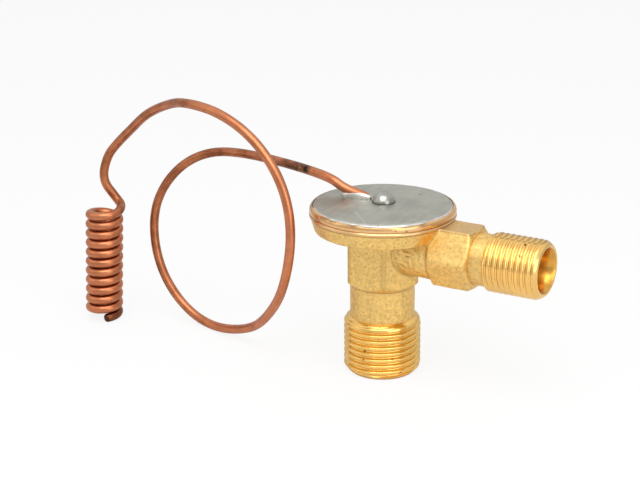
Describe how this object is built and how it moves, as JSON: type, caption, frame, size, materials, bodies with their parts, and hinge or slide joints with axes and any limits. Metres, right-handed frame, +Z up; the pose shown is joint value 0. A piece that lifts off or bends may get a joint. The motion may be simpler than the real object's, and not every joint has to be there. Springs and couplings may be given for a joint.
{
  "type": "refrigerant expansion valve",
  "caption": "Angle-pattern refrigerant expansion valve: forged brass body with threaded inlet and outlet, diaphragm head, and a capillary tube ending in a wound sensing coil.",
  "frame": {"origin": "centre of the outlet port's end face, on the valve's vertical axis", "axes": "+Z up the column to the diaphragm head, +X along the inlet branch, away from the column"},
  "size_m": [0.1304, 0.036, 0.0652],
  "materials": {
    "brass_forging": "matte forged, bright where turned",
    "brass_turned": "turned, bright",
    "cover_steel": "tinned, dull satin",
    "solder": "bright as flowed",
    "plug_steel": "polished",
    "copper_tube": "drawn copper, brown patina",
    "spring_steel": "bright spring steel",
    "pin_steel": "ground",
    "screen_metal": "perforated sheet"
  },
  "bodies": {
    "valve": {"valve_body": "brass_forging", "head_cover": "cover_steel", "rim_solder": "solder", "charge_plug": "plug_steel", "tube_solder": "solder", "capillary_tube": "copper_tube", "coil_end_seal": "solder", "diaphragm": "spring_steel", "orifice_seat": "pin_steel", "superheat_spring": "spring_steel", "spring_washer": "spring_steel", "adjusting_nut": "brass_turned", "strainer_screen": "screen_metal", "strainer_collar": "brass_turned", "strainer_cap": "screen_metal"},
    "stack": {"diaphragm_pad": "brass_turned", "push_pin_1": "pin_steel", "push_pin_2": "pin_steel", "valve_ball": "plug_steel", "ball_carrier": "brass_turned"}
  },
  "joints": [
    {"name": "valve_lift", "type": "slide", "parent": "valve", "child": "stack", "axis": [0, 0, -1], "range_m": [0, 0.0008], "stiffness_N_per_m": 500, "springref_m": -0.01, "deforming": ["superheat_spring", "diaphragm"]}
  ]
}
